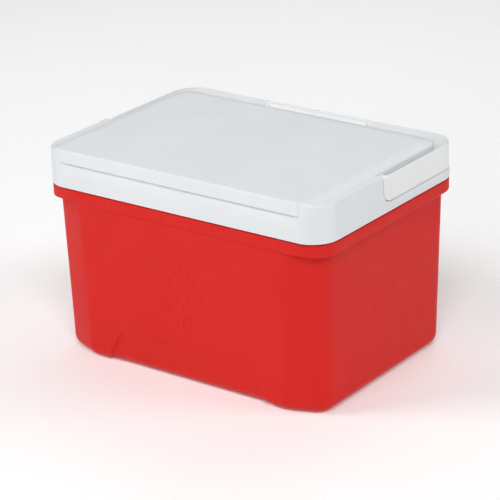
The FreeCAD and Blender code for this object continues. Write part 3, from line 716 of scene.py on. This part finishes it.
def outer_shell():
    skin = Skin()
    rows = [tub_row(z, depth) for depth, z in BASE_RECESS]
    for angle in quarter(8):
        rows.append(tub_row(TUB_ROUND * (1 - math.cos(angle)), TUB_ROUND * (1 - math.sin(angle))))
    rows += [tub_row(z) for z in WALL_HEIGHTS]
    rows += flange_underside()
    rows += [flange_row(FLANGE_LOW + 7), flange_row(FLANGE_LOW + 10)]
    for angle in quarter(3):
        across, up = SEAM_ROUND * (1 - math.cos(angle)), SEAM_ROUND * (1 - math.sin(angle))
        rows.append(flange_row(tub_high.z - SEAM_HEIGHT - up, across))
    rows += [flange_row(tub_high.z - SEAM_HEIGHT, SEAM_DEPTH), flange_row(tub_high.z, SEAM_DEPTH)]
    rows += [flange_row(tub_high.z, TUB_WALL - RIM_CHAMFER), flange_row(tub_high.z - RIM_CHAMFER, TUB_WALL)]
    rows.append(flange_row(FLANGE_LOW + TUB_WALL + 0.5, TUB_WALL))
    rows += [tub_row(z, TUB_WALL, PANEL) for z in INNER_HEIGHTS]
    rows += [tub_row(z, TUB_WALL + depth, PANEL) for z, depth in INNER_FLOOR]
    skin.tube(rows)
    return skin.build("tub_moulding")


# ---- handle ------------------------------------------------------------------------------------------
def band_places():
    """The U in plan from the left arm's front end round the back to the right arm's."""
    cx, cy = BAND_X - BAND_CORNER, BAND_Y - BAND_CORNER
    # places stand close together at the arm's round end, where the rib starts and at the notches
    end = [ARM_LOW_ROUND * (1 - math.cos(angle)) for angle in quarter(16)]
    ys = [ARM_FRONT_Y + s for s in end] + [2, 8] + steps(12, 24, 12) + steps(30, cy, 10)
    right = [straight(BAND_X, y, 1, 0) for y in ys]
    right += [on_corner(cx, cy, BAND_CORNER, 1, 1, turn) for turn in quarter(20)[-2::-1]]
    xs = set(steps(0, cx, 24)[:-1])
    for middle in (0, grip_high.x):
        xs.update(middle + offset for offset in steps(-5, 5, 16))
    right += [straight(x, BAND_Y, 0, 1) for x in sorted((x for x in xs if x >= 0), reverse=True)]
    return [mirror(place) for place in right[:-1]] + right[::-1]


def band_section(place, shrink=0.0):
    """The band's section at a place, as (depth behind the outer face, height) pairs round it."""
    run = place.y - ARM_FRONT_Y
    low, high = bail_low.z, bail_high.z
    if run < ARM_LOW_ROUND:
        low += ARM_LOW_ROUND - math.sqrt(ARM_LOW_ROUND ** 2 - (ARM_LOW_ROUND - run) ** 2)
    if run < ARM_TOP_ROUND:
        high -= ARM_TOP_ROUND - math.sqrt(ARM_TOP_ROUND ** 2 - (ARM_TOP_ROUND - run) ** 2)
    rib = RIB_DEPTH * smooth((place.y - RIB_START_Y) / RIB_START_RUN)
    notch = 0.0
    if place.ny == 1:
        for middle in (-grip_high.x, 0, grip_high.x):
            notch = max(notch, inside(abs(place.x - middle) - NOTCH_HALF, NOTCH_END_RUN / 2, NOTCH_END_RUN))
    bevelled = smooth((abs(place.x) - BEVEL_START) / BEVEL_START_RUN) * smooth(run / ARM_LOW_ROUND)
    bevel = BEVEL_DEPTH * bevelled
    r = BAND_ROUND * (1 - bevelled / 2)
    outer, inner = shrink, BAND_THICK - shrink
    points = []

    def corner(depth, z, radius, in_sign, up_sign, angles):
        """Points round one corner of the section, whose rounding is centred inwards of (depth, z)."""
        for angle in angles:
            points.append((
                depth + in_sign * radius * (1 - math.sin(angle)),
                z + up_sign * radius * (1 - math.cos(angle)),
            ))

    turn = quarter(4)
    corner(outer, low, r, 1, 1, turn)
    points.extend((outer, low + (high - low) * share) for share in (0.2, 0.4, 0.6, 0.8))
    corner(outer, high, r, 1, -1, turn[::-1])
    before = len(points)
    corner(inner - bevel, high, r, -1, -1, turn)
    points[before:] = [(depth - NOTCH_CUT * notch, z - NOTCH_DROP * notch) for depth, z in points[before:]]
    points.append((inner, high - BEVEL_DROP))
    shelf = low + RIB_THICK
    points.extend(((inner, (high + low) / 2), (inner, shelf + 1.0), (inner + rib * 0.15, shelf + 0.25)))
    corner(inner + rib, shelf, min(RIB_ROUND, rib / 2), -1, -1, turn)
    corner(inner + rib, low, RIB_ROUND, -1, 1, turn[::-1])
    return points


def handle_bail():
    skin = Skin()
    places = band_places()
    rows = []
    for place in places:
        rows.append([(*inset(place, depth), z) for depth, z in band_section(place)])
    for end in (0, -1):
        place = places[end]
        cap = []
        for angle in quarter(3):
            shrink = BAND_ROUND * math.sin(angle)
            back = BAND_ROUND * (1 - math.cos(angle))
            section = band_section(place, shrink)
            moved = place._replace(y=place.y - back + BAND_ROUND)
            cap.append([(*inset(moved, depth), z) for depth, z in section])
        rows = cap[:0:-1] + rows if end == 0 else rows + cap[1:]
    skin.tube(rows)
    return skin.build("bail_moulding")


def handle_grip():
    """The pad inside the crossbar: a soft-ended half round with seven shallow ribs along it."""
    skin = Skin()
    half = grip_high.x
    middle = (grip_low.z + grip_high.z) / 2
    tall = (grip_high.z - grip_low.z) / 2
    deep = grip_high.y - grip_low.y
    least_size, least_tall, fullness = 0.05, 0.55, 0.75
    rows = []
    ends = [half - GRIP_END * (1 - math.sin(angle)) for angle in quarter(8)]
    for x in sorted({side * x for x in ends for side in (-1, 1)} | set(steps(-55, 55, 22))):
        past = max(abs(x) - (half - GRIP_END), 0) / GRIP_END
        size = math.sqrt(max(1 - past * past, least_size ** 2))
        height = tall * (least_tall + (1 - least_tall) * size)
        row = []
        for angle in steps(0, math.pi, 40):
            rib = 1.0
            if GRIP_PLAIN_ANGLE < angle < math.pi - GRIP_PLAIN_ANGLE:
                rib -= GRIP_RIB_SHARE * (1 - math.cos(angle * GRIP_RIB_WAVES))
            y = grip_high.y - deep * math.sin(angle) ** fullness * rib * size
            row.append((x, y, middle - height * math.cos(angle)))
        rows.append(row)
    skin.tube(rows)
    return skin.build("grip_pad")


# ---- materials ---------------------------------------------------------------------------------------
class Nodes:
    """A material's node tree with short ways to add to it."""

    def __init__(self, name, roughness, specular=0.5, metallic=0.0):
        self.material = bpy.data.materials.new(name)
        self.material.use_nodes = True
        self.tree = self.material.node_tree
        self.shader = self.tree.nodes["Principled BSDF"]
        self.shader.inputs["Roughness"].default_value = roughness
        self.shader.inputs["Specular IOR Level"].default_value = specular
        self.shader.inputs["Metallic"].default_value = metallic
        self.place = self.add("ShaderNodeTexCoord").outputs["Object"]

    def add(self, kind, **settings):
        node = self.tree.nodes.new(kind)
        for key, value in settings.items():
            setattr(node, key, value)
        return node

    def link(self, source, target):
        self.tree.links.new(source, target)

    def stretched(self, scale):
        """The object's coordinates scaled by a vector."""
        mapping = self.add("ShaderNodeMapping")
        mapping.inputs["Scale"].default_value = scale
        self.link(self.place, mapping.inputs["Vector"])
        return mapping.outputs["Vector"]

    def noise(self, scale, detail=2.0, roughness=0.5, vector=None):
        node = self.add("ShaderNodeTexNoise")
        node.inputs["Scale"].default_value = scale
        node.inputs["Detail"].default_value = detail
        node.inputs["Roughness"].default_value = roughness
        self.link(vector or self.place, node.inputs["Vector"])
        return node.outputs["Fac"]

    def ramp(self, source, low, high, to_low=0.0, to_high=1.0):
        node = self.add("ShaderNodeMapRange", clamp=True)
        values = {"From Min": low, "From Max": high, "To Min": to_low, "To Max": to_high}
        for key, value in values.items():
            node.inputs[key].default_value = value
        self.link(source, node.inputs["Value"])
        return node.outputs["Result"]

    def mix(self, factor, one, two):
        """Between two colours; each is a colour or a socket."""
        node = self.add("ShaderNodeMix", data_type="RGBA")
        self.link(factor, node.inputs[0])
        for socket, value in ((node.inputs[6], one), (node.inputs[7], two)):
            if isinstance(value, tuple):
                socket.default_value = (*value, 1)
            else:
                self.link(value, socket)
        return node.outputs[2]

    def maths(self, operation, one, two):
        node = self.add("ShaderNodeMath", operation=operation)
        for socket, value in zip(node.inputs, (one, two)):
            if isinstance(value, (int, float)):
                socket.default_value = value
            else:
                self.link(value, socket)
        return node.outputs[0]

    def bump(self, height, strength, distance, below=None):
        node = self.add("ShaderNodeBump")
        node.inputs["Strength"].default_value = strength
        node.inputs["Distance"].default_value = distance
        self.link(height, node.inputs["Height"])
        if below is not None:
            self.link(below, node.inputs["Normal"])
        return node.outputs["Normal"]

    def colour(self, socket):
        self.link(socket, self.shader.inputs["Base Color"])

    def rough(self, socket):
        self.link(socket, self.shader.inputs["Roughness"])

    def normal(self, socket):
        self.link(socket, self.shader.inputs["Normal"])


def shade(colour, factor):
    return tuple(min(channel * factor, 1) for channel in colour)


def moulded_plastic(name, colour, roughness, grain, grain_depth, scuffs=0.25, specular=0.4, waves=0.12):
    """Injection-moulded plastic: spark-eroded grain, faint flow mottling, fine scuffs and a little grime."""
    nodes = Nodes(name, roughness, specular)
    # mottling from the flow of the plastic, and small darker specks
    mottle = nodes.ramp(nodes.noise(scale=9, detail=3, roughness=0.55), low=0.3, high=0.7)
    tint = nodes.mix(mottle, shade(colour, 0.975), shade(colour, 1.02))
    specks = nodes.noise(scale=420, detail=2, roughness=0.6)
    specks = nodes.ramp(specks, low=0.66, high=0.8, to_low=0, to_high=0.12)
    tint = nodes.mix(specks, tint, shade(colour, 0.86))
    # two crossing sets of fine strokes, only in patches
    strokes = nodes.noise(scale=26, vector=nodes.stretched((1, 1, 26)))
    crossing = nodes.noise(scale=21, vector=nodes.stretched((24, 2, 1)))
    patches = nodes.ramp(nodes.noise(scale=7), low=0.5, high=0.68)
    scratches = nodes.ramp(nodes.maths("MAXIMUM", strokes, crossing), low=0.735, high=0.77)
    scratches = nodes.maths("MULTIPLY", scratches, patches)
    scratches = nodes.maths("MULTIPLY", scratches, scuffs)
    nodes.colour(nodes.mix(scratches, tint, shade(colour, 1.12)))
    sheen = nodes.noise(scale=38, detail=3, roughness=0.6)
    sheen = nodes.ramp(sheen, low=0.3, high=0.7, to_low=roughness - 0.05, to_high=roughness + 0.06)
    nodes.rough(nodes.maths("ADD", sheen, nodes.maths("MULTIPLY", scratches, 0.2)))
    # long waves in the surface, the grain and the scratches
    flow = nodes.bump(nodes.noise(scale=30), strength=waves, distance=0.0004)
    grained = nodes.noise(scale=grain, detail=3, roughness=0.6)
    fine = nodes.bump(grained, strength=grain_depth, distance=0.00008, below=flow)
    nodes.normal(nodes.bump(scratches, strength=0.15, distance=-0.00005, below=fine))
    return nodes.material


def steel(name):
    """Bright drawn stainless steel with fine lines round the shafts."""
    nodes = Nodes(name, roughness=0.28, metallic=1.0)
    lines = nodes.noise(scale=90, detail=3, roughness=0.6, vector=nodes.stretched((40, 3, 3)))
    tint = nodes.ramp(lines, low=0.3, high=0.7)
    nodes.colour(nodes.mix(tint, (0.50, 0.50, 0.52), (0.68, 0.68, 0.70)))
    sheen = nodes.noise(scale=60, detail=3, roughness=0.6)
    nodes.rough(nodes.ramp(sheen, low=0.3, high=0.7, to_low=0.2, to_high=0.38))
    nodes.normal(nodes.bump(lines, strength=0.12, distance=0.00003))
    return nodes.material


def foam(name):
    """Rigid blown foam: small closed cells and a yellowed tint."""
    nodes = Nodes(name, roughness=0.85, specular=0.2)
    cells = nodes.add("ShaderNodeTexVoronoi")
    cells.inputs["Scale"].default_value = 900
    nodes.link(nodes.place, cells.inputs["Vector"])
    near = cells.outputs["Distance"]
    tint = nodes.noise(scale=25, detail=3, roughness=0.6)
    nodes.colour(nodes.mix(tint, (0.78, 0.68, 0.44), (0.90, 0.84, 0.64)))
    nodes.rough(nodes.ramp(near, low=0.0, high=0.7, to_low=0.75, to_high=0.95))
    nodes.normal(nodes.bump(near, strength=0.5, distance=0.0003))
    return nodes.material


WHITE = (0.77, 0.797, 0.816)
LINER_WHITE = shade(WHITE, 1.03)
# the handle's and the grip's whites are brighter than the lid's: partly a paler plastic, partly painted
# light for the light through the thin handle and into the pocket beside it
HANDLE_WHITE_WITH_PAINTED_LIGHT = (0.86, 0.875, 0.878)
GRIP_WHITE_WITH_PAINTED_LIGHT = (0.85, 0.865, 0.868)
RED = (0.68, 0.019, 0.0145)
IVORY = (0.80, 0.79, 0.75)

MATERIALS = {
    "red_shell": moulded_plastic(
        "red_polyethylene", RED, roughness=0.48, grain=1500, grain_depth=0.35, scuffs=0.16, specular=0.14),
    "white_shell": moulded_plastic(
        "white_polypropylene", WHITE, roughness=0.46, grain=1500, grain_depth=0.35, scuffs=0.3),
    "white_liner": moulded_plastic(
        "white_liner", LINER_WHITE, roughness=0.36, grain=900, grain_depth=0.15, scuffs=0.12, waves=0.03),
    "white_handle": moulded_plastic(
        "white_handle_plastic_with_painted_light", HANDLE_WHITE_WITH_PAINTED_LIGHT, roughness=0.42, grain=1700, grain_depth=0.25, scuffs=0.35),
    "white_grip": moulded_plastic(
        "white_grip_plastic_with_painted_light", GRIP_WHITE_WITH_PAINTED_LIGHT, roughness=0.55, grain=1100, grain_depth=0.5, scuffs=0.2),
    "acetal": moulded_plastic(
        "natural_acetal", IVORY, roughness=0.24, grain=600, grain_depth=0.08, scuffs=0.2, specular=0.5),
    "steel": steel("drawn_steel"),
    "foam": foam("blown_foam"),
}


def dress(piece, slot):
    piece.data.materials.clear()
    piece.data.materials.append(MATERIALS[slot])


# ---- pieces ------------------------------------------------------------------------------------------
for sub in frame["record"]["subparts"]:
    dress(frame["nodes"][sub["node"]], sub["material_slot"])

for make, node, body, slot in (
    (outer_shell, "outer_shell", "tub", "red_shell"),
    (lid_shell, "lid_shell", "lid", "white_shell"),
    (handle_bail, "handle_bail", "handle", "white_handle"),
    (handle_grip, "handle_grip", "handle", "white_grip"),
):
    piece = make()
    dress(piece, slot)
    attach(piece, body)
    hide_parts(node)


# ---- floor, light and camera -------------------------------------------------------------------------
FLOOR_SIZE, FLOOR_Z = 30, -0.0003


def floor():
    bpy.ops.mesh.primitive_plane_add(size=FLOOR_SIZE, location=(0, 0, FLOOR_Z))
    plane = bpy.context.object
    plane.name = "studio_floor"
    nodes = Nodes("pale_floor", roughness=0.7, specular=0.2)
    nodes.colour(nodes.mix(nodes.noise(scale=3), (0.93, 0.93, 0.93), (0.96, 0.96, 0.96)))
    nodes.shader.inputs["Emission Color"].default_value = (1.0, 1.0, 1.0, 1)
    nodes.shader.inputs["Emission Strength"].default_value = 0.1
    plane.data.materials.append(nodes.material)


AIM = Vector((0, 0, 0.1))
LAMP_DISTANCE = 3.0


def softbox(name, size, power, place, towards):
    """A round softbox at a place, shining towards a direction."""
    lamp = bpy.data.lights.new(name, "AREA")
    lamp.shape = "DISK"
    lamp.size = size
    lamp.energy = power
    holder = bpy.data.objects.new(name, lamp)
    bpy.context.scene.collection.objects.link(holder)
    holder.location = place
    holder.rotation_euler = towards.to_track_quat("-Z", "Y").to_euler()


def aimed_softbox(name, azimuth, elevation, size, power):
    """A softbox aimed at the cooler; azimuth 0 is straight in front and 90 to the right."""
    azimuth, elevation = math.radians(azimuth), math.radians(elevation)
    level, height = LAMP_DISTANCE * math.cos(elevation), LAMP_DISTANCE * math.sin(elevation)
    offset = Vector((level * math.sin(azimuth), -level * math.cos(azimuth), height))
    softbox(name, size, power, AIM + offset, -offset)


def lights():
    aimed_softbox("left_softbox", azimuth=-45, elevation=40, size=1.5, power=33)
    aimed_softbox("front_softbox", azimuth=0, elevation=30, size=1.5, power=12)
    aimed_softbox("key_softbox", azimuth=37, elevation=48, size=1.3, power=39)
    aimed_softbox("right_softbox", azimuth=110, elevation=30, size=1.5, power=25)
    aimed_softbox("rear_softbox", azimuth=180, elevation=50, size=1.5, power=10)
    # over the floor behind the cooler, which keeps the far floor as pale as the near
    softbox("backdrop_softbox", 2.0, 9, Vector((-0.9, 1.1, 1.4)), Vector((0, 0, -1)))


def camera():
    """Looks down at the front and the right side from 2.2 m, square to neither."""
    azimuth, elevation, roll = math.radians(36.67), math.radians(21.87), math.radians(-1.74)
    distance, aside, above = 2.2065, -0.0004, -0.0726
    sensor, lens = 36.0, 158.7
    back = Vector((
        math.sin(azimuth) * math.cos(elevation),
        -math.cos(azimuth) * math.cos(elevation),
        math.sin(elevation),
    ))
    level = Vector((math.cos(azimuth), math.sin(azimuth), 0))
    upright = back.cross(level)
    right = math.cos(roll) * level + math.sin(roll) * upright
    up = math.cos(roll) * upright - math.sin(roll) * level
    place = Vector((0, 0, PART_Z * MM)) + aside * right + above * up + distance * back
    data = bpy.data.cameras.new("camera")
    data.sensor_width = sensor
    data.lens = lens
    data.clip_end = 100
    holder = bpy.data.objects.new("camera", data)
    bpy.context.scene.collection.objects.link(holder)
    axes = Matrix((right, up, back)).transposed().to_4x4()
    holder.matrix_world = Matrix.Translation(place) @ axes
    bpy.context.scene.camera = holder


WORLD_STRENGTH = 0.02


def surroundings():
    world = bpy.data.worlds.new("studio")
    world.use_nodes = True
    background = world.node_tree.nodes["Background"]
    background.inputs["Color"].default_value = (1.0, 1.0, 1.0, 1)
    background.inputs["Strength"].default_value = WORLD_STRENGTH
    bpy.context.scene.world = world
    bpy.context.scene.view_settings.view_transform = "Standard"


floor()
surroundings()
lights()
camera()
